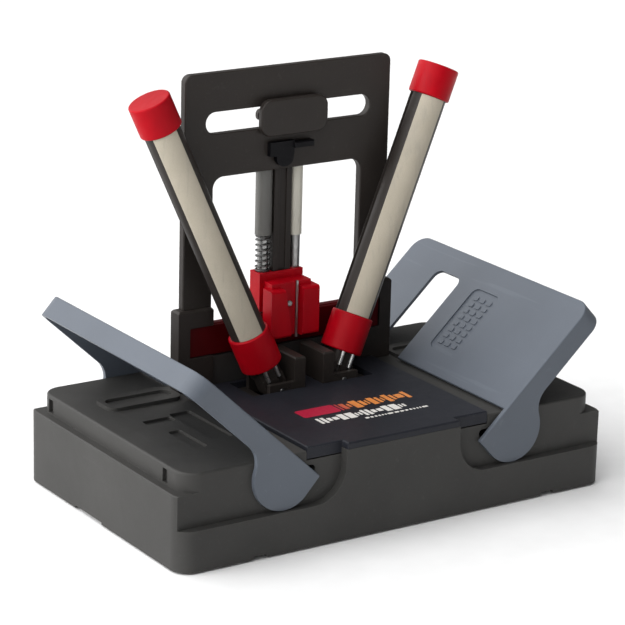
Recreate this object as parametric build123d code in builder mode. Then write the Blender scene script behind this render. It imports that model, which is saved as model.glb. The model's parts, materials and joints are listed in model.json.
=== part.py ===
from build123d import *
from math import cos, radians, sin, sqrt
import os

# Fold-up bench sharpener: a stepped base, two hinged covers that fold out, an upright frame
# with a sliding blade guide, and two sprung abrasive rods set in a V.
# Millimetres. Z is up, X runs along the base, -Y is the side the user faces.
# The origin is the middle of the footprint, at the level of the surface it stands on.

# ---------------------------------------------------------------- driving dimensions
BASE_L = 252.0
BASE_W = 151.6
BASE_R = 9.0
WALL = 2.6
HEM_Z = 0.8            # the base wall stands this far clear of the table
LEDGE_Z = 38.4         # top of the outer wall, where the closed covers end
PLATFORM_Z = 48.1      # top of the raised platform
STEP = 4.8             # the platform and the end recesses stand back this far
GAP = 0.3              # clearance between parts that move past each other

RECESS_Z = 21.4        # floor of the recess that the hinge lobes roll in
PIVOT_Z = 38.7         # height of the cover hinge axles
PIVOT_OPEN_X = 67.7    # hinge axle with the cover open
PIVOT_SHUT_X = 50.9    # hinge axle with the cover shut
RECESS_R = PIVOT_Z - RECESS_Z
PANEL_X = PIVOT_SHUT_X - RECESS_R

COVER_ANGLE = 42.8
COVER_HALF = 73.9      # half the length of a cover, across the base
COVER_TOP = 11.5       # top of the cover above its hinge line
COVER_T = 1.8
FLANGE_T = 2.6
COVER_IN = 4.3         # inner edge of the cover, measured outward from the hinge
COVER_OUT = 73.6       # outer edge
ARM_IN = -16.8         # cut end of the hinge arm
LOBE_R = 16.95
LOBE_FILLET = 12.0
SLOT_Y = (20.6, 42.4)  # the slot that clears the upright's foot
SLOT_OUT = 59.0
PANEL_MID = (37.6, -3.7)
AXLE_R = 2.0
RUN = 0.05             # running clearance of a pin in its hole

DECK_X = 53.4
DECK_BACK = 30.2
DECK_Z = 50.3
DECK_T = 3.5
LIP_Z = 44.2

FRAME_X = 61.0
FRAME_Y = 32.8         # front of the upright
FRAME_T = 4.0
FRAME_Z = 210.3
WINDOW_X = 44.1
WINDOW_Z = 157.2
SLIT_X = 48.7
SLIT_Z = (179.4, 190.5)
FRAME_BACK = FRAME_Y + FRAME_T
FOOT_X = 64.6
FOOT_Y = (30.5, 38.4)
FOOT_Z = 90.8
CROSSBAR_Z = (65.0, 81.8)
SOCKET_Z = 64.6
SOCKET_Y = (32.5, 48.0)

COLUMN_Y = 40.2
COLUMN_X = 9.6
GUIDE_ROD_R = 2.8
COLUMN_TOP = 157.0
SLEEVE_L_Z = 122.0
SLEEVE_R_Z = 120.0
HOLDER_BACK = 47.0     # back of the block that holds the head of the column

GUIDE_X = 14.5
GUIDE_Z = (70.6, 82.4, 98.6, 102.6)   # prong foot, underside over the crossbar, neck top, collar top
PRONG_Z = 96.2
NECK_X = (-11.5, 12.0)                 # open at the right guide rod
COLLAR_X = (-14.1, 12.0)
BUSH_R = 3.5
BLADE_GAP = ((-1.9, -6.0), (4.4, 4.9))  # its left and right side, each at the foot and at the top
GUIDE_FRONT = 23.0
GUIDE_WALL = (27.6, 31.2)             # wall of the guide in front of the crossbar
NECK_BACK = 38.0
COLLAR_Y = (35.4, 44.6)

BUTTON = (39.4, 18.8, 3.2)
BUTTON_Z = 185.2
BUTTON_BACK = FRAME_Y - 2.4           # its travel is 2.0
STEM_R = 3.5
STEM_Z = sum(SLIT_Z) / 2

ROD_PIVOT = (18.8, 15.8, 50.0)
ROD_TILT = 23.76       # outward lean of the rods
ROD_LEAN = 3.3         # backward lean
CAP_R = 10.8
ROD_S = (12.8, 32.4, 150.3, 167.0)    # cap foot, cap mouth, top cap mouth, top, from the pivot
ROD_TURN = 18.5        # both rods are turned this far to the left in their caps
CORE_R = 9.4
STONE_X = 6.2          # half width of the abrasive strips
STONE_Y = 5.6          # their backs lie this far from the middle of the rod
STONE_R = 9.8          # crown of their faces
BRACKET_X = (5.4, 11.9, 26.6, 36.0)
BRACKET_Y = (4.2, 6.8, 24.2, 26.6)
BRACKET_Z = (44.3, 54.0, 66.5)

os.makedirs("parts", exist_ok=True)


def save(part, name):
    part.label = name
    export_step(part, f"parts/{name}.step")


def save_pair(part, name):
    """Write a part made for the right-hand side, and its mirror image."""
    save(part, f"right_{name}")
    save(mirror(part, about=Plane.YZ), f"left_{name}")


def coil(radius, wire, height, turns):
    """Coil spring standing on the XY plane, its outside this tall."""
    with BuildPart() as spring:
        with BuildLine() as path:
            Helix(pitch=(height - 2 * wire) / turns, height=height - 2 * wire, radius=radius)
        with BuildSketch(Plane(origin=path.line @ 0, z_dir=path.line % 0)):
            Circle(wire)
        sweep(is_frenet=True)
    return spring.part.moved(Location((0, 0, wire)))


# ---------------------------------------------------------------- base
def recess_outline(side):
    """Recess in the long walls: a flat floor that ends in a quarter circle round the shut lobe."""
    with BuildLine() as outline:
        far = side * (BASE_L / 2 + 2)
        inner = side * PANEL_X
        shut = side * PIVOT_SHUT_X
        bottom = (shut, RECESS_Z)
        mid = (shut - side * RECESS_R * sin(radians(45)), PIVOT_Z - RECESS_R * cos(radians(45)))
        ThreePointArc((inner, PIVOT_Z), mid, bottom)
        Polyline(bottom, (far, RECESS_Z), (far, 60), (inner, 60), (inner, PIVOT_Z))
    return outline.line


BOSSES = [(108, 60), (-108, 60), (108, -60), (-108, -60), (0, 64), (0, -64)]
ISLAND_Y = (22.4, 40.6)
ISLAND_X = (66.0, 107.6)
ISLAND_Z = 50.0

with BuildPart() as base_tray:
    with BuildSketch(Plane.XY.offset(HEM_Z)):
        RectangleRounded(BASE_L, BASE_W, BASE_R)
    extrude(amount=LEDGE_Z - HEM_Z)
    chamfer(base_tray.edges().group_by(Axis.Z)[-1], 0.6)
    with BuildSketch(Plane.XY.offset(LEDGE_Z)):
        RectangleRounded(BASE_L - 2 * STEP, BASE_W - 2 * STEP, BASE_R + 1)
    extrude(amount=PLATFORM_Z - LEDGE_Z)
    fillet(base_tray.edges().group_by(Axis.Z)[-1], 1.2)
    # the middle of each long wall stands up to the deck, flush with the outer wall
    with BuildSketch(Plane.XY.offset(RECESS_Z)):
        Rectangle(2 * PANEL_X, BASE_W)
    extrude(amount=DECK_Z - DECK_T - RECESS_Z)
    for end in (-1, 1):
        wall_plane = Plane.XZ.offset(BASE_W / 2 + 1 if end < 0 else -BASE_W / 2 + STEP)
        for side in (-1, 1):
            with BuildSketch(wall_plane):
                add(recess_outline(side))
                make_face()
            extrude(amount=-(STEP + 1), mode=Mode.SUBTRACT)
    # hollow underneath, thicker where the recesses stand back
    with BuildSketch(Plane.XY):
        RectangleRounded(BASE_L - 2 * WALL, BASE_W - 2 * WALL, BASE_R - WALL)
    extrude(amount=RECESS_Z - WALL, mode=Mode.SUBTRACT)
    with BuildSketch(Plane.XY):
        RectangleRounded(BASE_L - 2 * (STEP + WALL), BASE_W - 2 * (STEP + WALL), BASE_R - 2)
    extrude(amount=PLATFORM_Z - WALL, mode=Mode.SUBTRACT)
    # islands that fill the slots of the shut covers
    for side in (-1, 1):
        with BuildSketch(Plane.XY.offset(PLATFORM_Z - 1)):
            with Locations((side * sum(ISLAND_X) / 2, sum(ISLAND_Y) / 2)):
                RectangleRounded(ISLAND_X[1] - ISLAND_X[0], ISLAND_Y[1] - ISLAND_Y[0], 5)
        extrude(amount=ISLAND_Z - PLATFORM_Z + 1)
        with BuildSketch(Plane.XY.offset(ISLAND_Z)):
            with Locations((side * sum(ISLAND_X) / 2, sum(ISLAND_Y) / 2)):
                RectangleRounded(ISLAND_X[1] - ISLAND_X[0] - 5, 9, 4)
        extrude(amount=-1.6, mode=Mode.SUBTRACT)
        # storage pockets for small accessories
        with BuildSketch(Plane.XY.offset(PLATFORM_Z)):
            with Locations((side * 93, 1)):
                RectangleRounded(16, 6, 1.5)
            with Locations((side * 94, -28)):
                RectangleRounded(7, 26, 1.5)
            with Locations((side * 78, -14)):
                RectangleRounded(12, 42, 2)
        extrude(amount=-1.4, mode=Mode.SUBTRACT)
        # catch slots in the end walls of the platform
        with BuildSketch(Plane.YZ.offset(side * (BASE_L / 2 - STEP))):
            with Locations((-53.1, 42.6), (59.1, 42.6)):
                Rectangle(4.5, 7)
        extrude(amount=-side * 2.0, mode=Mode.SUBTRACT)
        # the hinge axles run along slots in the long walls
        with BuildSketch(Plane.XZ.offset(BASE_W / 2)):
            with Locations((side * (PIVOT_OPEN_X + PIVOT_SHUT_X) / 2, PIVOT_Z)):
                SlotCenterToCenter(PIVOT_OPEN_X - PIVOT_SHUT_X, 2 * (AXLE_R + GAP))
        extrude(amount=-BASE_W, mode=Mode.SUBTRACT)
        # finger reliefs in the hem of the end walls
        with BuildSketch(Plane.YZ.offset(side * BASE_L / 2)):
            with Locations((12, HEM_Z)):
                Rectangle(26, 2.4)
        extrude(amount=-side * WALL, mode=Mode.SUBTRACT)
    # opening that the deck plate closes, with a seat round it and a rebate for its front lip
    deck_mid = (DECK_BACK - BASE_W / 2 + STEP) / 2
    deck_len = DECK_BACK + BASE_W / 2 - STEP
    with BuildSketch(Plane.XY.offset(DECK_Z - DECK_T)):
        with Locations((0, deck_mid)):
            Rectangle(2 * (DECK_X + GAP), deck_len + 2 * GAP)
    extrude(amount=6, mode=Mode.SUBTRACT)
    with BuildSketch(Plane.XY.offset(PLATFORM_Z - 4)):
        with Locations((0, deck_mid + 4)):
            Rectangle(2 * (DECK_X - 5), deck_len - 8.2)
    extrude(amount=6, mode=Mode.SUBTRACT)
    with BuildSketch(Plane.XY.offset(LIP_Z - 0.7)):
        with Locations((0, -BASE_W / 2 + STEP + 0.8)):
            Rectangle(2 * (DECK_X + GAP), 1.6)
    extrude(amount=5, mode=Mode.SUBTRACT)
    # small notches in the hem of the long walls
    with BuildSketch(Plane.XZ.offset(BASE_W / 2)):
        with Locations((-82, HEM_Z), (90, HEM_Z)):
            Rectangle(8, 3)
    extrude(amount=-BASE_W, mode=Mode.SUBTRACT)
    # screw bosses
    with BuildSketch(Plane.XY.offset(4.6)):
        with Locations(*BOSSES):
            Circle(4)
    extrude(amount=PLATFORM_Z - 2 - 4.6)
    with BuildSketch(Plane.XY.offset(4.6)):
        with Locations(*BOSSES):
            Circle(1.3)
    extrude(amount=14, mode=Mode.SUBTRACT)
    # the legs of the upright drop into pockets beside the deck
    with BuildSketch(Plane.XY.offset(PLATFORM_Z - 1)):
        with Locations((0, FRAME_Y + FRAME_T / 2)):
            Rectangle(2 * FRAME_X, FRAME_T)
            Rectangle(2 * WINDOW_X, FRAME_T, mode=Mode.SUBTRACT)
    extrude(amount=2, mode=Mode.SUBTRACT)
save(base_tray.part, "base_tray")

with BuildPart() as bottom_cover:
    with BuildSketch(Plane.XY.offset(2.0)):
        RectangleRounded(BASE_L - 2 * WALL - 0.6, BASE_W - 2 * WALL - 0.6, BASE_R - WALL)
    extrude(amount=2.6)
    with Locations(*[(x, y, 2.0) for x, y in BOSSES]):
        Cylinder(1.8, 10)
        Cylinder(3.6, 3.2, mode=Mode.SUBTRACT)
    with Locations(*[(x, y, 3.0) for x, y in BOSSES]):
        Cylinder(1.8, 12, mode=Mode.SUBTRACT)
    fillet(bottom_cover.edges().group_by(Axis.Z)[0].filter_by(GeomType.LINE), 0.5)
save(bottom_cover.part, "bottom_cover")

with BuildPart() as cover_screws:
    with Locations(*[(x, y, 1.7) for x, y in BOSSES]):
        Cylinder(3.2, 1.9, align=(Align.CENTER, Align.CENTER, Align.MIN))
        Cylinder(1.3, 14, align=(Align.CENTER, Align.CENTER, Align.MIN))
        Box(4, 0.8, 0.9, align=(Align.CENTER, Align.CENTER, Align.MIN), mode=Mode.SUBTRACT)
save(cover_screws.part, "cover_screws")

with BuildPart() as rubber_feet:
    with Locations(*[(x, y, 0) for x in (-112, 112) for y in (-40, 40)]):
        Cylinder(8, 2.0, align=(Align.CENTER, Align.CENTER, Align.MIN))
    fillet(rubber_feet.edges().group_by(Axis.Z)[0], 0.6)
save(rubber_feet.part, "rubber_feet")

with BuildPart() as deck_plate:
    with BuildSketch(Plane.XY.offset(DECK_Z - DECK_T)):
        with Locations((0, deck_mid)):
            Rectangle(2 * DECK_X, deck_len)
        with Locations((0, -BASE_W / 2 + STEP / 2)):
            Rectangle(2 * PANEL_X - 1.0, STEP)
    extrude(amount=DECK_T)
    with BuildSketch(Plane.XY.offset(LIP_Z)):
        with Locations((0, -BASE_W / 2 + STEP + 0.65)):
            Rectangle(2 * DECK_X, 1.3)
    extrude(amount=DECK_Z - DECK_T - LIP_Z)
    fillet(deck_plate.edges().group_by(Axis.Z)[-1], 0.9)
    # openings that the rod brackets stand in
    for side in (-1, 1):
        with BuildSketch(Plane.XY.offset(DECK_Z - DECK_T)):
            with Locations((side * (BRACKET_X[0] + BRACKET_X[3]) / 2, sum(BRACKET_Y) / 4)):
                Rectangle(BRACKET_X[3] - BRACKET_X[0] + 0.8, BRACKET_Y[3] - BRACKET_Y[0] + 0.8)
        extrude(amount=DECK_T, mode=Mode.SUBTRACT)
save(deck_plate.part, "deck_plate")

# a plain printed badge on the deck: thin raised bars
with BuildPart() as deck_badge:
    with BuildSketch(Plane.XY.offset(DECK_Z)):
        with Locations((1, -31)):
            RectangleRounded(66, 10.6, 2)
        with Locations((-3, -43.6)):
            RectangleRounded(52, 8.6, 1.8)
        with Locations((14, -50.6)):
            RectangleRounded(38, 1.8, 0.7)
    extrude(amount=0.25)
save(deck_badge.part, "deck_badge")


# ---------------------------------------------------------------- covers
def cover_frame(y):
    """Plane across the cover at this Y: x runs outward along it, y up through it."""
    out = (cos(radians(COVER_ANGLE)), 0, sin(radians(COVER_ANGLE)))
    return Plane(origin=(PIVOT_OPEN_X, y, PIVOT_Z), x_dir=out, z_dir=(0, -1, 0))


def cover_plan(height):
    """Plane in the cover, this far above the hinge line: x runs outward, y is the long way."""
    out = Vector(cos(radians(COVER_ANGLE)), 0, sin(radians(COVER_ANGLE)))
    up = Vector(-sin(radians(COVER_ANGLE)), 0, cos(radians(COVER_ANGLE)))
    origin = Vector(PIVOT_OPEN_X, 0, PIVOT_Z) + up * height
    return Plane(origin=origin, x_dir=out, z_dir=up)


def cover_rectangle(inner, outer, half, radius):
    """Rectangle across the cover with its two outer corners rounded."""
    with BuildSketch(Plane.XY) as shape:
        with Locations(((inner + outer) / 2, 0)):
            Rectangle(outer - inner, 2 * half)
        fillet(shape.vertices().group_by(Axis.X)[-1], radius)
    return shape.sketch


def lobe_outline():
    """Hinge arm: a straight-cut end, a round lobe, and a hollow curve up to the flange."""
    reach = sqrt((LOBE_R + LOBE_FILLET) ** 2 - LOBE_FILLET ** 2)
    share = LOBE_R / (LOBE_R + LOBE_FILLET)
    joint = (reach * share, -LOBE_FILLET * share)
    end = (ARM_IN, -sqrt(LOBE_R ** 2 - ARM_IN ** 2))
    swell = (reach - LOBE_FILLET * cos(radians(40)), -LOBE_FILLET + LOBE_FILLET * sin(radians(40)))
    with BuildLine() as outline:
        Polyline(end, (ARM_IN, COVER_TOP), (50, COVER_TOP), (50, 0), (reach, 0))
        ThreePointArc((reach, 0), swell, joint)
        ThreePointArc(joint, (0, -LOBE_R), end)
    return outline.line


with BuildPart() as cover:
    with BuildSketch(cover_plan(0)):
        add(cover_rectangle(COVER_IN, COVER_OUT, COVER_HALF, BASE_R))
    extrude(amount=COVER_TOP)
    with BuildSketch(cover_plan(-1)):
        add(cover_rectangle(0, COVER_OUT - FLANGE_T, COVER_HALF - FLANGE_T, BASE_R - FLANGE_T))
    extrude(amount=COVER_TOP - COVER_T + 1, mode=Mode.SUBTRACT)
    for y in (-COVER_HALF + FLANGE_T, COVER_HALF):
        with BuildSketch(cover_frame(y)):
            add(lobe_outline())
            make_face()
        extrude(amount=FLANGE_T)
    fillet(cover.edges().group_by(Axis((0, 0, 0), cover_plan(0).z_dir))[-1], 0.7)
    # slot, open at the inner edge
    with BuildSketch(cover_plan(-1)):
        slot = cover_rectangle(-6, SLOT_OUT, (SLOT_Y[1] - SLOT_Y[0]) / 2, 5)
        add(slot.moved(Location((0, sum(SLOT_Y) / 2))))
    extrude(amount=COVER_TOP + 3, mode=Mode.SUBTRACT)
    # sunk panel with a plain chequer of raised pads
    with BuildSketch(cover_plan(COVER_TOP)):
        with Locations(PANEL_MID):
            RectangleRounded(40, 22, 4)
    extrude(amount=-0.8, mode=Mode.SUBTRACT)
    with BuildSketch(cover_plan(COVER_TOP - 0.8)):
        with Locations(PANEL_MID):
            with GridLocations(4.2, 5.6, 8, 3):
                RectangleRounded(2.6, 4.0, 0.8)
    extrude(amount=0.6)
    # blind holes for the axle in the inside of the lobes
    for end in (-1, 1):
        with Locations(Location((PIVOT_OPEN_X, end * (COVER_HALF - FLANGE_T + 0.6), PIVOT_Z),
                                (90, 0, 0))):
            Cylinder(AXLE_R + RUN, 2.6, mode=Mode.SUBTRACT)
save_pair(cover.part, "cover")

with BuildPart() as cover_axle:
    with Locations(Location((PIVOT_OPEN_X, 0, PIVOT_Z), (90, 0, 0))):
        Cylinder(AXLE_R, 2 * (COVER_HALF - FLANGE_T) + 3.2)
    chamfer(cover_axle.edges(), 0.3)
save_pair(cover_axle.part, "cover_axle")

with BuildPart() as axle_clips:
    for end in (-1, 1):
        with Locations(Location((PIVOT_OPEN_X, end * 67.5, PIVOT_Z), (90, 0, 0))):
            Cylinder(4, 0.9)
            Cylinder(AXLE_R, 2, mode=Mode.SUBTRACT)
save_pair(axle_clips.part, "axle_clips")


# ---------------------------------------------------------------- upright
with BuildPart() as tower_frame:
    with BuildSketch(Plane.XZ.offset(-FRAME_BACK)) as face:
        with Locations((0, (FRAME_Z + PLATFORM_Z - 1) / 2)):
            Rectangle(2 * FRAME_X, FRAME_Z - PLATFORM_Z + 1)
        fillet(face.vertices().group_by(Axis.Y)[-1], 4)
        with Locations((0, (WINDOW_Z + 20) / 2)):
            RectangleRounded(2 * WINDOW_X, WINDOW_Z - 20, 6, mode=Mode.SUBTRACT)
        with Locations((0, sum(SLIT_Z) / 2)):
            SlotOverall(2 * SLIT_X, SLIT_Z[1] - SLIT_Z[0], mode=Mode.SUBTRACT)
    extrude(amount=FRAME_T)
    chamfer(tower_frame.faces().sort_by(Axis.Y)[0].edges(), 0.5)
save(tower_frame.part, "tower_frame")

BAR_END_X = 57.5
SCREW_R = 1.2
FOOT_SCREWS = [(52.8, 57), (52.8, 85.6)]
HOLDER_SCREWS = [(-14.5, 168), (14.5, 168)]
SCREW_DEPTH = 1.5

with BuildPart() as foot_bracket:
    mid_y = sum(FOOT_Y) / 2
    with BuildSketch(Plane.XY.offset(PLATFORM_Z)):
        with Locations(((WINDOW_X + FOOT_X) / 2, mid_y)):
            Rectangle(FOOT_X - WINDOW_X, FOOT_Y[1] - FOOT_Y[0])
    extrude(amount=FOOT_Z - PLATFORM_Z)
    chamfer(foot_bracket.edges().group_by(Axis.Z)[-1], 1)
    with BuildSketch(Plane.XY.offset(PLATFORM_Z)):
        with Locations(((WINDOW_X + FRAME_X) / 2, FRAME_Y + FRAME_T / 2)):
            Rectangle(FRAME_X - WINDOW_X, FRAME_T)
    extrude(amount=FOOT_Z - PLATFORM_Z, mode=Mode.SUBTRACT)
    # pocket that the end of the crossbar lies in, open to the front
    with BuildSketch(Plane.XZ.offset(-FOOT_Y[0])):
        with Locations((WINDOW_X, sum(CROSSBAR_Z) / 2)):
            Rectangle(2 * (BAR_END_X - WINDOW_X + 0.2), CROSSBAR_Z[1] - CROSSBAR_Z[0] - 1)
    extrude(amount=FOOT_Y[0] - FRAME_Y, mode=Mode.SUBTRACT)
    for x, z in FOOT_SCREWS:
        with Locations(Location((x, FOOT_Y[1], z), (90, 0, 0))):
            Cylinder(SCREW_R, 2 * (FOOT_Y[1] - FRAME_BACK), mode=Mode.SUBTRACT)
save_pair(foot_bracket.part, "foot_bracket")

with BuildPart() as tower_socket:
    with BuildSketch(Plane.XY.offset(PLATFORM_Z)):
        with Locations((0, sum(SOCKET_Y) / 2)):
            Rectangle(2 * WINDOW_X - 0.4, SOCKET_Y[1] - SOCKET_Y[0])
    extrude(amount=SOCKET_Z - PLATFORM_Z)
    fillet(tower_socket.edges().group_by(Axis.Z)[-1], 1)
    with Locations((COLUMN_X, COLUMN_Y, SOCKET_Z), (-COLUMN_X, COLUMN_Y, SOCKET_Z)):
        Cylinder(GUIDE_ROD_R, 24, mode=Mode.SUBTRACT)
save(tower_socket.part, "tower_socket")

with BuildPart() as guide_crossbar:
    with BuildSketch(Plane.XZ.offset(-FRAME_BACK)):
        with Locations((0, sum(CROSSBAR_Z) / 2)):
            Rectangle(2 * WINDOW_X - 0.2, CROSSBAR_Z[1] - CROSSBAR_Z[0])
    extrude(amount=FRAME_T)
    with BuildSketch(Plane.XZ.offset(-FRAME_Y)):
        with Locations((0, sum(CROSSBAR_Z) / 2)):
            Rectangle(2 * BAR_END_X, CROSSBAR_Z[1] - CROSSBAR_Z[0] - 1.2)
    extrude(amount=1.2)
    fillet(guide_crossbar.edges().group_by(Axis.Y)[0], 0.6)
save(guide_crossbar.part, "guide_crossbar")

with BuildPart() as centre_rail:
    with BuildSketch(Plane.XY.offset(SOCKET_Z)) as section:
        with Locations((0, COLUMN_Y)):
            Rectangle(10.4, 6.6)
        with Locations((0, COLUMN_Y - 3.3)):
            Rectangle(4, 2.4, mode=Mode.SUBTRACT)
    extrude(amount=COLUMN_TOP - SOCKET_Z)
save(centre_rail.part, "centre_rail")

for name, x in (("left_guide_rod", -COLUMN_X), ("right_guide_rod", COLUMN_X)):
    with BuildPart() as guide_rod:
        with Locations((x, COLUMN_Y, (SOCKET_Z + COLUMN_TOP) / 2)):
            Cylinder(GUIDE_ROD_R, COLUMN_TOP - SOCKET_Z + 21)
        chamfer(guide_rod.edges(), 0.4)
    save(guide_rod.part, name)

for name, x, low, radius in (("left_sleeve", -COLUMN_X, SLEEVE_L_Z, 4.3),
                             ("right_sleeve", COLUMN_X, SLEEVE_R_Z, 3.5)):
    with BuildPart() as sleeve:
        with Locations((x, COLUMN_Y, low)):
            Cylinder(radius, COLUMN_TOP - low, align=(Align.CENTER, Align.CENTER, Align.MIN))
            Cylinder(GUIDE_ROD_R, COLUMN_TOP - low,
                     align=(Align.CENTER, Align.CENTER, Align.MIN), mode=Mode.SUBTRACT)
    save(sleeve.part, name)

with BuildPart() as column_bracket:
    with BuildSketch(Plane.XY.offset(COLUMN_TOP)):
        with Locations((0, (FRAME_BACK + HOLDER_BACK) / 2)):
            Rectangle(34, HOLDER_BACK - FRAME_BACK)
    extrude(amount=17)
    fillet(column_bracket.edges().filter_by(Axis.Z).sort_by(Axis.Y)[-2:], 3)
    with Locations((COLUMN_X, COLUMN_Y, COLUMN_TOP), (-COLUMN_X, COLUMN_Y, COLUMN_TOP)):
        Cylinder(GUIDE_ROD_R, 22, mode=Mode.SUBTRACT)
    for x, z in HOLDER_SCREWS:
        with Locations(Location((x, HOLDER_BACK, z), (90, 0, 0))):
            Cylinder(SCREW_R, 2 * SCREW_DEPTH, mode=Mode.SUBTRACT)
save(column_bracket.part, "column_bracket")

# catch that hangs under the button: a tongue with a round foot, and a shelf beside it
with BuildPart() as catch_block:
    with BuildSketch(Plane.XZ.offset(-FRAME_Y)):
        with Locations((-5.6, 168.4)):
            Rectangle(14.2, 7.2)
        with Locations((-3.8, 164.0)):
            RectangleRounded(10.0, 9.8, 4.6)
    extrude(amount=3.0)
    with Locations((6.8, FRAME_Y, 168.2)):
        Box(11.6, 4.4, 3.0, align=(Align.CENTER, Align.MAX, Align.MIN))
    chamfer(catch_block.edges().group_by(Axis.Y)[0], 0.4)
save(catch_block.part, "catch_block")

with BuildPart() as tower_screws:
    heads = [(x, HOLDER_BACK, z) for x, z in HOLDER_SCREWS]
    heads += [(side * x, FOOT_Y[1], z) for x, z in FOOT_SCREWS for side in (-1, 1)]
    for x, y, z in heads:
        with Locations(Location((x, y + 0.7, z), (90, 0, 0))):
            Cylinder(2.4, 1.4)
        with Locations(Location((x, y - SCREW_DEPTH / 2, z), (90, 0, 0))):
            Cylinder(SCREW_R, SCREW_DEPTH)
        with Locations(Location((x, y + 1.4, z))):
            Box(3.2, 1.4, 0.7, mode=Mode.SUBTRACT)
            Box(0.7, 1.4, 3.2, mode=Mode.SUBTRACT)
save(tower_screws.part, "tower_screws")

# ---------------------------------------------------------------- release button
with BuildPart() as button_bushing:
    with BuildSketch(Plane.XZ.offset(-FRAME_BACK)):
        with Locations((0, STEM_Z)):
            Rectangle(19, SLIT_Z[1] - SLIT_Z[0])
    extrude(amount=FRAME_T)
    with Locations(Location((0, FRAME_Y, STEM_Z), (90, 0, 0))):
        Cylinder(STEM_R + GAP, 20, mode=Mode.SUBTRACT)
        Cylinder(5.1, 6, mode=Mode.SUBTRACT)
save(button_bushing.part, "button_bushing")

with BuildPart() as release_button:
    with BuildSketch(Plane.XZ.offset(-BUTTON_BACK)):
        with Locations((0, BUTTON_Z)):
            RectangleRounded(BUTTON[0], BUTTON[1], 6)
    extrude(amount=BUTTON[2])
    fillet(release_button.faces().sort_by(Axis.Y)[0].edges(), 1)
    with BuildSketch(Plane.XZ.offset(-BUTTON_BACK)):
        with Locations((0, STEM_Z)):
            Circle(STEM_R)
    extrude(amount=-(FRAME_BACK + 3 - BUTTON_BACK))
save(release_button.part, "release_button")

with BuildPart() as button_clip:
    with BuildSketch(Plane.XZ.offset(-FRAME_BACK - 2.7)):
        with Locations((0, STEM_Z)):
            RectangleRounded(32, 6, 2.6)
            Circle(5)
            Circle(STEM_R, mode=Mode.SUBTRACT)
    extrude(amount=2.4)
save(button_clip.part, "button_clip")

# drawn at its pressed length, so it rides with the button
button_coil = coil(4.4, 0.35, 2.7, 3)
save(button_coil.moved(Location((0, BUTTON_BACK, STEM_Z), (-90, 0, 0))), "button_spring")

# ---------------------------------------------------------------- blade guide
with BuildPart() as blade_guide:
    foot, under, top, collar = GUIDE_Z
    # wall in front of the crossbar
    with BuildSketch(Plane.XY.offset(foot)):
        with Locations((0, sum(GUIDE_WALL) / 2)):
            Rectangle(2 * GUIDE_X, GUIDE_WALL[1] - GUIDE_WALL[0])
    extrude(amount=PRONG_Z - foot)
    # two prongs, with a gap between them that widens upwards
    with BuildSketch(Plane.XZ.offset(-GUIDE_WALL[1])):
        for (low, high), outside in zip(BLADE_GAP, (-GUIDE_X, GUIDE_X)):
            with BuildLine():
                Polyline(
                    (low, foot),
                    (high, PRONG_Z),
                    (outside, PRONG_Z),
                    (outside, foot),
                    close=True,
                )
            make_face()
    extrude(amount=GUIDE_WALL[1] - GUIDE_FRONT)
    # neck over the crossbar and through the window, then the collar round the column
    for sides, front, back, height in (
        (NECK_X, GUIDE_WALL[0], NECK_BACK, top),
        (COLLAR_X, COLLAR_Y[0], COLLAR_Y[1], collar),
    ):
        with BuildSketch(Plane.XY.offset(under)):
            with Locations((sum(sides) / 2, (front + back) / 2)):
                Rectangle(sides[1] - sides[0], back - front)
            with Locations((0, COLUMN_Y)):
                Rectangle(10.4 + 2 * GAP, 6.6 + 2 * GAP, mode=Mode.SUBTRACT)
            with Locations((-COLUMN_X, COLUMN_Y)):
                Circle(BUSH_R, mode=Mode.SUBTRACT)
            with Locations((COLUMN_X, COLUMN_Y)):
                Circle(GUIDE_ROD_R + GAP, mode=Mode.SUBTRACT)
        extrude(amount=height - under)
    fillet(blade_guide.edges().group_by(Axis.Y)[0].filter_by(Axis.X), 1.6)
save(blade_guide.part, "blade_guide")

with BuildPart() as guide_bush:
    with Locations((-COLUMN_X, COLUMN_Y, GUIDE_Z[1])):
        Cylinder(BUSH_R, GUIDE_Z[3] - GUIDE_Z[1], align=(Align.CENTER, Align.CENTER, Align.MIN))
        Cylinder(GUIDE_ROD_R + RUN, 60, mode=Mode.SUBTRACT)
save(guide_bush.part, "guide_bush")

with BuildPart() as wear_strip:
    with Locations((3.2, GUIDE_WALL[0], GUIDE_Z[0] - 1.5)):
        Box(1.1, 1.0, 30, align=(Align.CENTER, Align.MAX, Align.MIN))
save(wear_strip.part, "wear_strip")

with BuildPart() as guide_screw:
    with Locations(Location((-1.1, GUIDE_WALL[0], 87.5), (90, 0, 0))):
        Cylinder(1.5, 1.2, align=(Align.CENTER, Align.CENTER, Align.MIN))
    fillet(guide_screw.edges().group_by(Axis.Y)[0], 0.4)
save(guide_screw.part, "guide_screw")

guide_coil = coil(3.6, 0.4, SLEEVE_L_Z - GUIDE_Z[3], 8)
save(guide_coil.moved(Location((-COLUMN_X, COLUMN_Y, GUIDE_Z[3]))), "guide_spring")


# ---------------------------------------------------------------- abrasive rods
def rod_plane(reach, turn=0):
    """Plane across the right-hand rod, this far from its pivot: x runs outward, y back.
    It can be turned about the rod, which brings its front outward."""
    tilt = radians(ROD_TILT)
    lean = radians(ROD_LEAN)
    along = Vector(sin(tilt) * cos(lean), sin(lean), cos(tilt) * cos(lean))
    origin = Vector(*ROD_PIVOT) + along * reach
    outward = Vector(cos(tilt), 0, -sin(tilt))
    x_dir = outward * cos(radians(turn)) + along.cross(outward) * sin(radians(turn))
    return Plane(origin=origin, x_dir=x_dir, z_dir=along)


PIN_PLACES = ((-3.25, -7.0), (3.25, -7.0))

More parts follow.
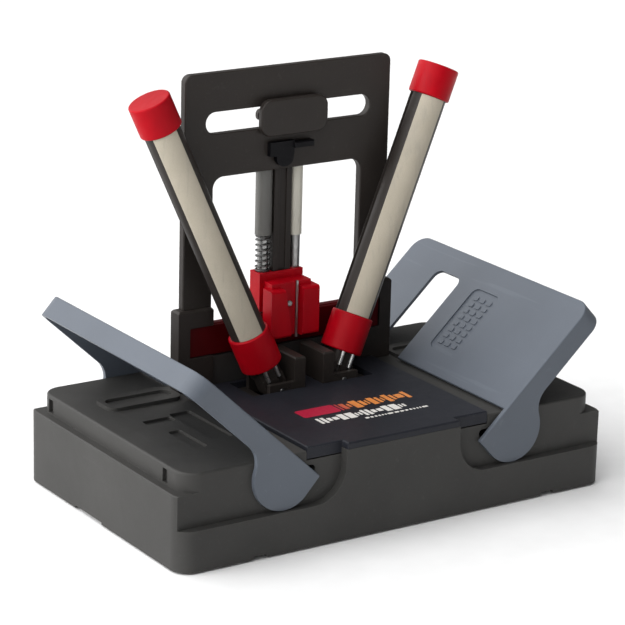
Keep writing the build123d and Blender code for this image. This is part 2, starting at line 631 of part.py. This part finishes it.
with BuildPart() as rod_bracket:
    with BuildSketch(Plane.XY.offset(BRACKET_Z[0])):
        with Locations((sum(BRACKET_X[::3]) / 2, sum(BRACKET_Y[::3]) / 2)):
            Rectangle(BRACKET_X[3] - BRACKET_X[0] + 5, 25)
    extrude(amount=DECK_Z - DECK_T - BRACKET_Z[0])
    # tall block on the inner side, which the rod rests toward
    with BuildSketch(Plane.XY.offset(BRACKET_Z[0])):
        with Locations((sum(BRACKET_X[:2]) / 2, sum(BRACKET_Y[::3]) / 2)):
            Rectangle(BRACKET_X[1] - BRACKET_X[0], BRACKET_Y[3] - BRACKET_Y[0])
    extrude(amount=BRACKET_Z[2] - BRACKET_Z[0])
    chamfer(rod_bracket.edges().group_by(Axis.Z)[-1], 0.8)
    # cheeks that hold the pivot pin
    for near, far in (BRACKET_Y[:2], BRACKET_Y[2:]):
        with BuildSketch(Plane.XY.offset(BRACKET_Z[0])):
            with Locations((sum(BRACKET_X[1:3]) / 2, (near + far) / 2)):
                Rectangle(BRACKET_X[2] - BRACKET_X[1], far - near)
        extrude(amount=BRACKET_Z[1] - BRACKET_Z[0])
    # well for the yoke
    with BuildSketch(Plane.XY.offset(BRACKET_Z[0])):
        with Locations((ROD_PIVOT[0] + 0.6, sum(BRACKET_Y[1:3]) / 2)):
            Rectangle(15, BRACKET_Y[2] - BRACKET_Y[1])
    extrude(amount=8, mode=Mode.SUBTRACT)
    with Locations(Location(ROD_PIVOT, (90, 0, 0))):
        Cylinder(1.5, 30, mode=Mode.SUBTRACT)
save_pair(rod_bracket.part, "rod_bracket")

with BuildPart() as pivot_pin:
    with Locations(Location((ROD_PIVOT[0], sum(BRACKET_Y[::3]) / 2, ROD_PIVOT[2]), (90, 0, 0))):
        Cylinder(1.5, BRACKET_Y[3] - BRACKET_Y[0] - 0.4)
    chamfer(pivot_pin.edges(), 0.3)
save_pair(pivot_pin.part, "pivot_pin")

with BuildPart() as rod_yoke:
    with Locations(Location((ROD_PIVOT[0], ROD_PIVOT[1] - 1.7, ROD_PIVOT[2]), (90, 0, 0))):
        Cylinder(6, 10.4)
    with BuildSketch(rod_plane(0)):
        with Locations((0, -1.7)):
            Rectangle(12, 10.2)
    extrude(amount=7)
    with BuildSketch(rod_plane(6.5)):
        RectangleRounded(13, 13.6, 2.5)
    extrude(amount=ROD_S[0] - 6.5)
    with BuildSketch(rod_plane(-10)):
        with Locations(*PIN_PLACES):
            Circle(1.1)
    extrude(amount=30, mode=Mode.SUBTRACT)
    with Locations(Location(ROD_PIVOT, (90, 0, 0))):
        Cylinder(1.5 + RUN, 30, mode=Mode.SUBTRACT)
save_pair(rod_yoke.part, "rod_yoke")

with BuildPart() as locating_pins:
    with BuildSketch(rod_plane(5.5)):
        with Locations(*PIN_PLACES):
            Circle(1.1)
    extrude(amount=ROD_S[0] + 1 - 5.5)
save_pair(locating_pins.part, "locating_pins")

with BuildPart() as lower_cap:
    with BuildSketch(rod_plane(ROD_S[0])):
        Circle(CAP_R)
    extrude(amount=ROD_S[1] - ROD_S[0])
    fillet(lower_cap.edges(), 0.9)
    with BuildSketch(rod_plane(ROD_S[0] + 2.4)):
        Circle(CORE_R)
    extrude(amount=30, mode=Mode.SUBTRACT)
    with BuildSketch(rod_plane(ROD_S[0])):
        with Locations(*PIN_PLACES):
            Circle(1.1)
    extrude(amount=1, mode=Mode.SUBTRACT)
save_pair(lower_cap.part, "lower_cap")

with BuildPart() as top_cap:
    with BuildSketch(rod_plane(ROD_S[2])):
        Circle(CAP_R)
    extrude(amount=ROD_S[3] - ROD_S[2])
    fillet(top_cap.edges(), 0.9)
    with BuildSketch(rod_plane(ROD_S[3] - 2.4)):
        Circle(CORE_R)
    extrude(amount=-30, mode=Mode.SUBTRACT)
save_pair(top_cap.part, "top_cap")

SIDES = (("right", -ROD_TURN), ("left", ROD_TURN))


def save_side(part, side, name):
    """Write a part made for the right-hand side, mirrored if it belongs to the left."""
    if side == "left":
        part = mirror(part, about=Plane.YZ)
    save(part, f"{side}_{name}")


for side, turn in SIDES:
    with BuildPart() as rod_core:
        with BuildSketch(rod_plane(ROD_S[0] + 2.4, turn)):
            Circle(CORE_R)
        extrude(amount=ROD_S[3] - ROD_S[0] - 4.8)
        # beds for the two abrasive strips, and a channel down each side
        with BuildSketch(rod_plane(ROD_S[1] + 0.1, turn)):
            with Locations((0, STONE_Y + 5), (0, -STONE_Y - 5)):
                Rectangle(2 * STONE_X, 10)
            with Locations((CORE_R, 0), (-CORE_R, 0)):
                Rectangle(2.8, 4)
        extrude(amount=ROD_S[2] - ROD_S[1] - 0.2, mode=Mode.SUBTRACT)
    save_side(rod_core.part, side, "rod_core")
    for face, name in ((-1, "fine_stone"), (1, "coarse_stone")):
        with BuildPart() as stone:
            with BuildSketch(rod_plane(ROD_S[1] + 0.1, turn)):
                Circle(STONE_R)
                with Locations((0, face * (STONE_Y + 5))):
                    Rectangle(2 * STONE_X, 10, mode=Mode.INTERSECT)
            extrude(amount=ROD_S[2] - ROD_S[1] - 0.2)
        save_side(stone.part, side, name)

tilt_coil = coil(2.6, 0.5, 3.6, 3)
tilt_spring = tilt_coil.moved(Location((ROD_PIVOT[0], ROD_PIVOT[1] + 4.2, ROD_PIVOT[2]), (-90, 0, 0)))
save_pair(tilt_spring, "tilt_spring")
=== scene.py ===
import json
import math

import bmesh
import bpy
from mathutils import Matrix, Vector


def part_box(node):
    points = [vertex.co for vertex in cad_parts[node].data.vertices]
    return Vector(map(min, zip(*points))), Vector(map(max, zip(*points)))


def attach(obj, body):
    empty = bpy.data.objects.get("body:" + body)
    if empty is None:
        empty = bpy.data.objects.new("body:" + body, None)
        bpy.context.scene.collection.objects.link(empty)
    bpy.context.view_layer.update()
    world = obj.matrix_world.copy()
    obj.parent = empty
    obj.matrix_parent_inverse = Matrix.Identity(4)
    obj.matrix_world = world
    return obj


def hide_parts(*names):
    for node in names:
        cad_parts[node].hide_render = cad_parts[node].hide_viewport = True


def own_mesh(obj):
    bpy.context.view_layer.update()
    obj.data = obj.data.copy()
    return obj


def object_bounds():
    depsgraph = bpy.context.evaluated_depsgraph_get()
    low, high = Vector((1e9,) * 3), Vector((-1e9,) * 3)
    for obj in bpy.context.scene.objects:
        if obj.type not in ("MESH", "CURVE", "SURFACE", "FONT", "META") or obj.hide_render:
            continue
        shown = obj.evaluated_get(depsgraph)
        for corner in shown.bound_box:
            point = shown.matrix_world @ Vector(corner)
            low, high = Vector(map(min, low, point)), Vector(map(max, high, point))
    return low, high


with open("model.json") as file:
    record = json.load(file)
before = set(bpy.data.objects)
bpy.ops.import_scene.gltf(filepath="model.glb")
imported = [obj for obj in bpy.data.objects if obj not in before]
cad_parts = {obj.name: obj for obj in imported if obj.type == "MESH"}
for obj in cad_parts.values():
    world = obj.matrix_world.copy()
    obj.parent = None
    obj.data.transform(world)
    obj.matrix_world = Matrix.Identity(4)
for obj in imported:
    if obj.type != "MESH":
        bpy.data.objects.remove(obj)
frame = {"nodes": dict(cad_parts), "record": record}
cad_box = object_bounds()
nodes = frame["nodes"]
scene = bpy.context.scene
MM = 0.001


# ------------------------------------------------------------------ node helpers
class Nodes:
    """Short hand for building one material's node tree."""

    def __init__(self, name):
        self.material = bpy.data.materials.new(name)
        self.material.use_nodes = True
        self.tree = self.material.node_tree
        self.tree.nodes.clear()
        self.out = self.new("ShaderNodeOutputMaterial")
        self.shader = self.new("ShaderNodeBsdfPrincipled")
        self.link(self.shader.outputs[0], self.out.inputs[0])
        self.coord = self.new("ShaderNodeTexCoord").outputs["Object"]

    def new(self, kind, **settings):
        node = self.tree.nodes.new(kind)
        for key, value in settings.items():
            setattr(node, key, value)
        return node

    def link(self, a, b):
        self.tree.links.new(a, b)

    def noise(self, scale, detail=3.0, rough=0.5, stretch=None, distortion=0.0):
        node = self.new("ShaderNodeTexNoise")
        node.inputs["Scale"].default_value = scale
        node.inputs["Detail"].default_value = detail
        node.inputs["Roughness"].default_value = rough
        node.inputs["Distortion"].default_value = distortion
        source = self.coord
        if stretch:
            turn = self.new("ShaderNodeMapping")
            turn.inputs["Scale"].default_value = stretch
            self.link(source, turn.inputs[0])
            source = turn.outputs[0]
        self.link(source, node.inputs["Vector"])
        return node.outputs["Fac"]

    def cells(self, scale):
        node = self.new("ShaderNodeTexVoronoi", feature="F1")
        node.inputs["Scale"].default_value = scale
        self.link(self.coord, node.inputs["Vector"])
        return node.outputs["Distance"]

    def range(self, source, low, high, to_low, to_high):
        node = self.new("ShaderNodeMapRange")
        for key, value in zip(("From Min", "From Max", "To Min", "To Max"), (low, high, to_low, to_high)):
            node.inputs[key].default_value = value
        self.link(source, node.inputs[0])
        return node.outputs[0]

    def mix(self, factor, a, b):
        node = self.new("ShaderNodeMix", data_type="RGBA", blend_type="MIX")
        for value, place in ((factor, 0), (a, 6), (b, 7)):
            if hasattr(value, "is_linked"):
                self.link(value, node.inputs[place])
            else:
                node.inputs[place].default_value = value
        return node.outputs[2]

    def math(self, kind, a, b):
        node = self.new("ShaderNodeMath", operation=kind)
        for place, value in enumerate((a, b)):
            if hasattr(value, "is_linked"):
                self.link(value, node.inputs[place])
            else:
                node.inputs[place].default_value = value
        return node.outputs[0]

    def bump(self, height, distance, strength=1.0, under=None):
        node = self.new("ShaderNodeBump")
        node.inputs["Distance"].default_value = distance
        node.inputs["Strength"].default_value = strength
        self.link(height, node.inputs["Height"])
        if under is not None:
            self.link(under, node.inputs["Normal"])
        return node.outputs[0]

    def edges(self, radius, low=0.02, high=0.3):
        """1 on sharp edges and 0 on faces."""
        rounded = self.new("ShaderNodeBevel", samples=4)
        rounded.inputs["Radius"].default_value = radius
        plain = self.new("ShaderNodeNewGeometry").outputs["True Normal"]
        dot = self.new("ShaderNodeVectorMath", operation="DOT_PRODUCT")
        self.link(rounded.outputs[0], dot.inputs[0])
        self.link(plain, dot.inputs[1])
        return self.range(dot.outputs["Value"], 1.0 - low, 1.0 - high, 0.0, 1.0)

    def set(self, **values):
        for key, value in values.items():
            socket = self.shader.inputs[key.replace("_", " ")]
            if hasattr(value, "is_linked"):
                self.link(value, socket)
            else:
                socket.default_value = value
        return self.material


def rgb(r, g, b, k=1.0):
    return (r * k, g * k, b * k, 1.0)


def moulded_plastic(name, colour, roughness, texture, texture_size, wear, mottle=0.12, specular=0.5):
    """Moulded plastic: spark-eroded texture, faint flow marks, fine scratches, rubbed edges."""
    n = Nodes(name)
    cloud = n.noise(22, 4, 0.55)
    blotch = n.noise(90, 3, 0.6)
    grain = n.noise(texture_size, 4, 0.65)
    pits = n.cells(texture_size * 0.45)
    scratch = n.noise(260, 2, 0.5, stretch=(1.0, 0.06, 1.0), distortion=0.4)
    scratch = n.range(scratch, 0.66, 0.74, 0.0, 1.0)
    dust = n.range(n.noise(1300, 2, 0.6), 0.63, 0.8, 0.0, 1.0)
    tone = n.mix(n.range(cloud, 0.3, 0.7, 0.0, 1.0), rgb(*colour, 1 - mottle), rgb(*colour, 1 + mottle))
    tone = n.mix(n.range(blotch, 0.35, 0.75, 0.0, 0.35), tone, rgb(*colour, 1 + 1.6 * mottle))
    edge = n.math("MULTIPLY", n.edges(0.0009), n.range(blotch, 0.3, 0.65, 0.25, 1.0))
    pale = tuple(c * 1.9 + 0.035 for c in colour)
    tone = n.mix(n.math("MULTIPLY", edge, wear), tone, rgb(*pale))
    tone = n.mix(n.math("MULTIPLY", scratch, 0.10), tone, rgb(*pale))
    tone = n.mix(n.math("MULTIPLY", dust, 0.06), tone, rgb(0.3, 0.3, 0.29))
    haze = n.math("ADD", blotch, n.math("MULTIPLY", grain, 0.6))
    rough = n.range(haze, 0.5, 1.1, roughness - 0.06, roughness + 0.08)
    rough = n.math("SUBTRACT", rough, n.math("MULTIPLY", edge, 0.08))
    coarse = n.bump(pits, texture * 0.8, 0.5)
    fine = n.bump(grain, texture, 0.8, coarse)
    worn = n.bump(scratch, 0.00001, -0.5, fine)
    n.set(Base_Color=tone, Roughness=rough, Normal=worn)
    n.set(**{"Specular IOR Level": specular})
    return n.material


def gloss_red(name, colour, roughness):
    """Semi-gloss red moulding: slight flow marks, parting haze, rubbed rims."""
    n = Nodes(name)
    cloud = n.noise(45, 4, 0.55)
    flow = n.noise(120, 3, 0.6, stretch=(1, 1, 0.25), distortion=0.6)
    orange_peel = n.noise(620, 2, 0.5)
    smear = n.noise(70, 5, 0.7, distortion=1.2)
    tone = n.mix(n.range(cloud, 0.3, 0.7, 0, 1), rgb(*colour, 0.84), rgb(*colour, 1.1))
    tone = n.mix(n.range(flow, 0.5, 0.8, 0, 0.35), tone, rgb(colour[0] * 0.7, colour[1], colour[2] * 1.6))
    edge = n.math("MULTIPLY", n.edges(0.0010), 0.4)
    tone = n.mix(edge, tone, rgb(min(1, colour[0] * 1.5), colour[1] * 4 + 0.008, colour[2] * 3 + 0.01))
    rough = n.range(smear, 0.3, 0.75, roughness - 0.07, roughness + 0.12)
    normal = n.bump(orange_peel, 0.00003, 0.5)
    normal = n.bump(flow, 0.00005, 0.4, normal)
    n.set(Base_Color=tone, Roughness=rough, Normal=normal)
    n.set(**{"Specular IOR Level": 0.12})
    return n.material


def abrasive(name, colour, grit, contrast, depth):
    """Bonded abrasive: packed grit of several tones, swarf stains along the stroke, chipped rims."""
    n = Nodes(name)
    grains = n.cells(grit)
    fine = n.noise(grit * 1.6, 3, 0.7)
    cloud = n.noise(60, 4, 0.6)
    strokes = n.noise(420, 3, 0.6, stretch=(1, 1, 0.05), distortion=0.2)
    stain = n.noise(38, 5, 0.65, stretch=(1, 1, 0.35), distortion=0.5)
    tone = n.mix(n.range(grains, 0.1, 0.6, 0, 1), rgb(*colour, 1 - contrast), rgb(*colour, 1 + contrast * 0.5))
    tone = n.mix(n.range(fine, 0.35, 0.7, 0, 0.6), tone, rgb(*colour, 1 + contrast))
    dull = rgb(colour[0] * 0.86, colour[1] * 0.86, colour[2] * 0.84)
    tone = n.mix(n.range(cloud, 0.35, 0.7, 0, 0.4), tone, dull)
    tone = n.mix(n.range(strokes, 0.55, 0.75, 0, 0.22), tone, rgb(0.2, 0.2, 0.2))
    tone = n.mix(n.range(stain, 0.52, 0.78, 0, 0.3), tone, rgb(0.22, 0.215, 0.21))
    tone = n.mix(n.math("MULTIPLY", n.edges(0.0008), 0.5), tone, rgb(*colour, 1.25))
    rough = n.range(fine, 0.3, 0.7, 0.72, 0.95)
    normal = n.bump(grains, depth, 0.9)
    normal = n.bump(fine, depth * 0.7, 0.8, normal)
    n.set(Base_Color=tone, Roughness=rough, Normal=normal)
    return n.material


def brushed_steel(name, tint=1.0, rough=0.3):
    """Drawn steel: fine lengthwise and cross brushing, slight oxide bloom."""
    n = Nodes(name)
    brush = n.noise(900, 3, 0.6, stretch=(1, 1, 0.04))
    cross = n.noise(500, 2, 0.5, stretch=(0.08, 1, 1))
    bloom = n.noise(80, 4, 0.6)
    tone = n.mix(n.range(brush, 0.3, 0.7, 0, 1), rgb(0.5, 0.5, 0.49, tint), rgb(0.68, 0.68, 0.67, tint))
    tone = n.mix(n.range(bloom, 0.5, 0.8, 0, 0.35), tone, rgb(0.33, 0.31, 0.28, tint))
    roughness = n.range(cross, 0.3, 0.7, rough - 0.06, rough + 0.12)
    normal = n.bump(brush, 0.00002, 0.5)
    n.set(Base_Color=tone, Roughness=roughness, Normal=normal, Metallic=1.0)
    return n.material


def soft_rubber(name):
    n = Nodes(name)
    dust = n.noise(800, 3, 0.6)
    cloud = n.noise(60, 3, 0.5)
    tone = n.mix(n.range(cloud, 0.3, 0.7, 0, 1), rgb(0.022, 0.022, 0.022), rgb(0.036, 0.035, 0.034))
    tone = n.mix(n.range(dust, 0.6, 0.8, 0, 0.25), tone, rgb(0.12, 0.12, 0.115))
    n.set(Base_Color=tone, Roughness=n.range(dust, 0.3, 0.7, 0.75, 0.92), Normal=n.bump(dust, 0.00005, 0.6))
    return n.material


def print_ink(name, left, right, low_x, high_x):
    """Pad-printed ink that runs from one colour to the other, thin in places."""
    n = Nodes(name)
    split = n.new("ShaderNodeSeparateXYZ")
    n.link(n.coord, split.inputs[0])
    along = n.range(split.outputs[0], low_x, high_x, 0, 1)
    tone = n.mix(along, rgb(*left), rgb(*right))
    thin = n.noise(700, 3, 0.7)
    tone = n.mix(n.range(thin, 0.62, 0.78, 0, 0.6), tone, rgb(0.06, 0.055, 0.055))
    n.set(Base_Color=tone, Roughness=n.range(thin, 0.3, 0.7, 0.32, 0.5), Normal=n.bump(thin, 0.00002, 0.5))
    return n.material


MATERIALS = {
    "base_plastic": moulded_plastic(
        "base_plastic", (0.0425, 0.0415, 0.0395), 0.52, 0.00005, 2200, 0.3, 0.12, 0.22
    ),
    "deck_plastic": moulded_plastic(
        "deck_plastic", (0.0150, 0.0160, 0.0215), 0.46, 0.00003, 2600, 0.30, 0.12, 0.22
    ),
    "black_plastic": moulded_plastic(
        "black_plastic", (0.0255, 0.0210, 0.0185), 0.44, 0.00003, 2600, 0.25, 0.12, 0.24
    ),
    "cover_plastic": moulded_plastic(
        "cover_plastic", (0.098, 0.112, 0.135), 0.46, 0.00003, 2400, 0.2, 0.06, 0.3
    ),
    "red_plastic": gloss_red("red_plastic", (0.40, 0.0006, 0.007), 0.42),
    "fine_abrasive": abrasive("fine_abrasive", (0.45, 0.405, 0.325), 2600, 0.10, 0.00003),
    "coarse_abrasive": abrasive("coarse_abrasive", (0.20, 0.20, 0.205), 1500, 0.30, 0.00008),
    "steel": brushed_steel("steel"),
    "feet_rubber": soft_rubber("feet_rubber"),
    "print": print_ink("print", (0.42, 0.008, 0.04), (0.75, 0.26, 0.06), -0.010, 0.002),
}
PALE_INK = print_ink("pale_ink", (0.78, 0.76, 0.72), (0.80, 0.78, 0.74), -0.02, 0.03)
# the red plastic darkened as painted shade, for the crossbar that sits in shadow
PAINTED_SHADE_RED = gloss_red("painted_shade_red", (0.07, 0.0006, 0.0018), 0.45)
DARK_STEEL = brushed_steel("dark_steel", 0.22, 0.38)
DULL_STEEL = brushed_steel("dull_steel", 0.6, 0.34)
PALE_SLEEVE = moulded_plastic("pale_sleeve", (0.60, 0.58, 0.50), 0.4, 0.00003, 2400, 0.1, 0.06)
# black plastic painted darker still: painted shade for the shadowed catch under the knob
PAINTED_SHADE_BLACK = moulded_plastic("painted_shade_black", (0.0035, 0.0033, 0.0045), 0.5, 0.00003, 2400, 0.2, 0.1, 0.15)
SLEEVE_GREY = moulded_plastic("sleeve_grey", (0.115, 0.113, 0.105), 0.45, 0.00003, 2400, 0.2, 0.06)

SHARP_EDGES = {
    "base_tray": 0.5, "deck_plate": 0.35, "left_cover": 0.45, "right_cover": 0.45, "tower_frame": 0.45,
    "left_foot_bracket": 0.4, "right_foot_bracket": 0.4, "tower_socket": 0.5, "guide_crossbar": 0.4,
    "centre_rail": 0.3, "column_bracket": 0.4, "catch_block": 0.3, "blade_guide": 0.45,
    "left_rod_bracket": 0.4, "right_rod_bracket": 0.4, "left_rod_yoke": 0.35, "right_rod_yoke": 0.35,
    "left_rod_core": 0.25, "right_rod_core": 0.25, "left_fine_stone": 0.25, "right_fine_stone": 0.25,
    "left_coarse_stone": 0.25, "right_coarse_stone": 0.25, "button_bushing": 0.3, "button_clip": 0.3,
    "bottom_cover": 0.3,
}


def soften(node, width):
    """Round the sharp edges of a moulded part, as its tool would."""
    weld = node.modifiers.new("weld", "WELD")
    weld.merge_threshold = 0.000002
    bevel = node.modifiers.new("edge_radius", "BEVEL")
    bevel.width = width * MM
    bevel.segments = 2
    bevel.limit_method = "ANGLE"
    bevel.angle_limit = math.radians(35)
    bevel.use_clamp_overlap = True
    bevel.harden_normals = False
    bevel.miter_outer = "MITER_ARC"
    smooth = node.modifiers.new("weighted", "WEIGHTED_NORMAL")
    smooth.keep_sharp = True


FINISH_OF = {
    # guide_crossbar: red plastic darkened as painted shade
    "left_sleeve": SLEEVE_GREY, "right_sleeve": PALE_SLEEVE, "guide_crossbar": PAINTED_SHADE_RED,
    # catch_block: black plastic with painted shade, near-black
    "catch_block": PAINTED_SHADE_BLACK,
    "guide_spring": DARK_STEEL, "wear_strip": DULL_STEEL, "guide_screw": DULL_STEEL,
    "left_guide_rod": DULL_STEEL, "right_guide_rod": DULL_STEEL,
}
slot_of = {entry["node"]: entry["material_slot"] for entry in frame["record"]["subparts"]}
for name, node in nodes.items():
    finish = FINISH_OF.get(name, MATERIALS[slot_of[name]])
    node.data.materials.clear()
    node.data.materials.append(finish)
    if name in SHARP_EDGES:
        soften(node, SHARP_EDGES[name])


# ------------------------------------------------------------------ pieces
def piece(name, bm, finish, body):
    """Turn a bmesh, in metres in the shared frame, into a named piece that rides on a body."""
    mesh = bpy.data.meshes.new(name)
    bmesh.ops.recalc_face_normals(bm, faces=bm.faces)
    bm.to_mesh(mesh)
    bm.free()
    obj = bpy.data.objects.new(name, mesh)
    scene.collection.objects.link(obj)
    mesh.materials.append(finish)
    for polygon in mesh.polygons:
        polygon.use_smooth = True
    smooth = obj.modifiers.new("weighted", "WEIGHTED_NORMAL")
    smooth.keep_sharp = True
    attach(obj, body)
    return obj


def prism(bm, outline, low, high):
    """Add a closed prism over a flat outline (x, y), from low to high along its normal."""
    bottom = [bm.verts.new((x, y, low)) for x, y in outline]
    top = [bm.verts.new((x, y, high)) for x, y in outline]
    bm.faces.new(bottom[::-1])
    bm.faces.new(top)
    count = len(outline)
    for i in range(count):
        j = (i + 1) % count
        bm.faces.new((bottom[i], bottom[j], top[j], top[i]))


def rounded(cx, cy, length, width, radius, steps=5):
    """Outline of a rounded rectangle."""
    points = []
    for sx, sy, start in ((1, 1, 0), (-1, 1, 90), (-1, -1, 180), (1, -1, 270)):
        for k in range(steps + 1):
            angle = math.radians(start + 90 * k / steps)
            x = cx + sx * (length / 2 - radius) + radius * math.cos(angle)
            y = cy + sy * (width / 2 - radius) + radius * math.sin(angle)
            points.append((x, y))
    return points


# printed mark on the deck: plain segments, no letters
deck_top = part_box("deck_plate")[1].z
BAR = [1.4, 3.2, 2.0, 4.6, 2.6, 1.6, 3.8, 2.2]
BAR_SPACE = 0.0006
INK = 0.00012


def bar_row(bm, x, y, count, width_of, height_of, trim):
    """Add a row of printed bars, from x to the right, with widths and heights given by their number."""
    for k in range(count):
        width = width_of(k) * MM
        outline = rounded(x + width / 2, y, width - trim, height_of(k), 0.0003)
        prism(bm, outline, deck_top, deck_top + INK)
        x += width + BAR_SPACE


bm = bmesh.new()
prism(bm, rounded(-0.0210, -0.0310, 0.0220, 0.0106, 0.0016), deck_top, deck_top + INK)
bar_row(
    bm, -0.0092, -0.0310, 13,
    lambda k: BAR[k % 8],
    lambda k: (9.4 - 2.4 * (k % 3) + 0.8 * (k % 2)) * MM,
    0.0005,
)
warm = piece("deck_mark_warm", bm, MATERIALS["print"], "base_body")
bm = bmesh.new()
bar_row(
    bm, -0.0290, -0.0436, 16,
    lambda k: BAR[(5 * k + 2) % 8],
    lambda k: (7.6 - 1.8 * (k % 4) + 1.6 * (k % 2)) * MM,
    0.0004,
)
bar_row(
    bm, -0.0060, -0.0506, 15,
    lambda k: BAR[(3 * k + 1) % 8] * 0.75,
    lambda k: 0.0016,
    0.0003,
)
pale = piece("deck_mark_pale", bm, PALE_INK, "base_body")
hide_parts("deck_badge")
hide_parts("deck_badge")


def coil_spring(bm, middle, radius, wire, low, high, turns, ring=10, per_turn=30):
    """Add a compression spring, with a closed turn at each end, standing on middle (x, y)."""
    steps = turns * per_turn
    open_height = high - low - 6 * wire
    loops = []
    for step in range(steps + 1):
        turn = step / per_turn
        opened = min(max((turn - 1) / (turns - 2), 0.0), 1.0)
        closed = min(turn, 1.0) + max(turn - turns + 1, 0.0)
        height = low + wire + 2 * wire * closed + open_height * opened
        angle = 2 * math.pi * turn
        loop = []
        for k in range(ring):
            around = 2 * math.pi * k / ring
            reach = radius + wire * math.cos(around)
            x = middle[0] + reach * math.cos(angle)
            y = middle[1] + reach * math.sin(angle)
            loop.append(bm.verts.new((x, y, height + wire * math.sin(around))))
        loops.append(loop)
    for one, other in zip(loops, loops[1:]):
        for k in range(ring):
            bm.faces.new((one[k], one[(k + 1) % ring], other[(k + 1) % ring], other[k]))
    bm.faces.new(loops[0][::-1])
    bm.faces.new(loops[-1])


# return spring over the left guide rod: its top stays under the sleeve
spring_low, spring_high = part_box("guide_spring")
SPRING_WIRE = 0.0004
spring_middle = (spring_low + spring_high) / 2
spring_radius = (spring_high.x - spring_low.x) / 2 - SPRING_WIRE
bm = bmesh.new()
coil_spring(bm, spring_middle, spring_radius, SPRING_WIRE, spring_low.z, spring_high.z, 8)
spring = piece("return_spring", bm, DARK_STEEL, "base_body")
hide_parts("guide_spring")
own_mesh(spring)

# ------------------------------------------------------------------ stage
bm = bmesh.new()
floor_z = cad_box[0][2] - 0.0001
FLOOR_REACH = 9.0
corners = [(-1, -1), (1, -1), (1, 1), (-1, 1)]
bm.faces.new([bm.verts.new((FLOOR_REACH * cx, FLOOR_REACH * cy, floor_z)) for cx, cy in corners])
mesh = bpy.data.meshes.new("floor")
bm.to_mesh(mesh)
bm.free()
floor = bpy.data.objects.new("floor", mesh)
scene.collection.objects.link(floor)
paper = Nodes("floor_paper")
fibre = paper.noise(60, 3, 0.5)
white = paper.mix(paper.range(fibre, 0.3, 0.7, 0, 1), rgb(0.90, 0.90, 0.90), rgb(0.93, 0.93, 0.93))
paper.set(Base_Color=white, Roughness=0.9)
mesh.materials.append(paper.material)

world = bpy.data.worlds.new("studio")
scene.world = world
world.use_nodes = True
# a white dome, brightest up on the left
dome = world.node_tree
facing = dome.nodes.new("ShaderNodeVectorMath")
facing.operation = "DOT_PRODUCT"
facing.inputs[1].default_value = Vector((-0.90, 0.35, 0.45)).normalized()
dome.links.new(dome.nodes.new("ShaderNodeTexCoord").outputs["Generated"], facing.inputs[0])
glow = dome.nodes.new("ShaderNodeMapRange")
glow.interpolation_type = "SMOOTHSTEP"
for key, value in (("From Min", -0.20), ("From Max", 0.95), ("To Min", 0.06), ("To Max", 2.35)):
    glow.inputs[key].default_value = value
dome.links.new(facing.outputs["Value"], glow.inputs[0])
dome.nodes["Background"].inputs[0].default_value = (1.0, 1.0, 1.0, 1.0)
dome.links.new(glow.outputs[0], dome.nodes["Background"].inputs[1])


def softbox(name, place, target, size, power):
    lamp = bpy.data.lights.new(name, "AREA")
    lamp.shape = "RECTANGLE"
    lamp.size, lamp.size_y = size
    lamp.energy = power
    obj = bpy.data.objects.new(name, lamp)
    scene.collection.objects.link(obj)
    obj.location = place
    aim = Vector(target) - Vector(place)
    obj.rotation_euler = aim.to_track_quat("-Z", "Y").to_euler()


softbox("key_left", (-1.5, 0.2, 0.85), (0, 0, 0.08), (0.9, 0.9), 7)
softbox("top", (-0.3, 0.2, 1.6), (0, 0, 0.05), (1.4, 1.4), 3)

# camera, at the angle the tool is usually shown from
AZIMUTH, ELEVATION, ROLL = math.radians(-33.78), math.radians(17.29), math.radians(1.52)
DISTANCE, TARGET = 1.3942, Vector((-0.0050, 0.0, 0.0906))
level = math.cos(ELEVATION)
back = Vector((math.sin(AZIMUTH) * level, -math.cos(AZIMUTH) * level, math.sin(ELEVATION)))
right = Vector((math.cos(AZIMUTH), math.sin(AZIMUTH), 0.0))
up = back.cross(right)
turned_right = right * math.cos(ROLL) + up * math.sin(ROLL)
turned_up = up * math.cos(ROLL) - right * math.sin(ROLL)
lens = bpy.data.cameras.new("camera")
lens.lens = 160.46
lens.sensor_width = 36.0
lens.clip_start = 0.05
lens.clip_end = 50
camera = bpy.data.objects.new("camera", lens)
scene.collection.objects.link(camera)
axes = Matrix((turned_right, turned_up, back)).transposed().to_4x4()
camera.matrix_world = Matrix.Translation(TARGET + back * DISTANCE) @ axes
scene.camera = camera
scene.view_settings.view_transform = "Standard"
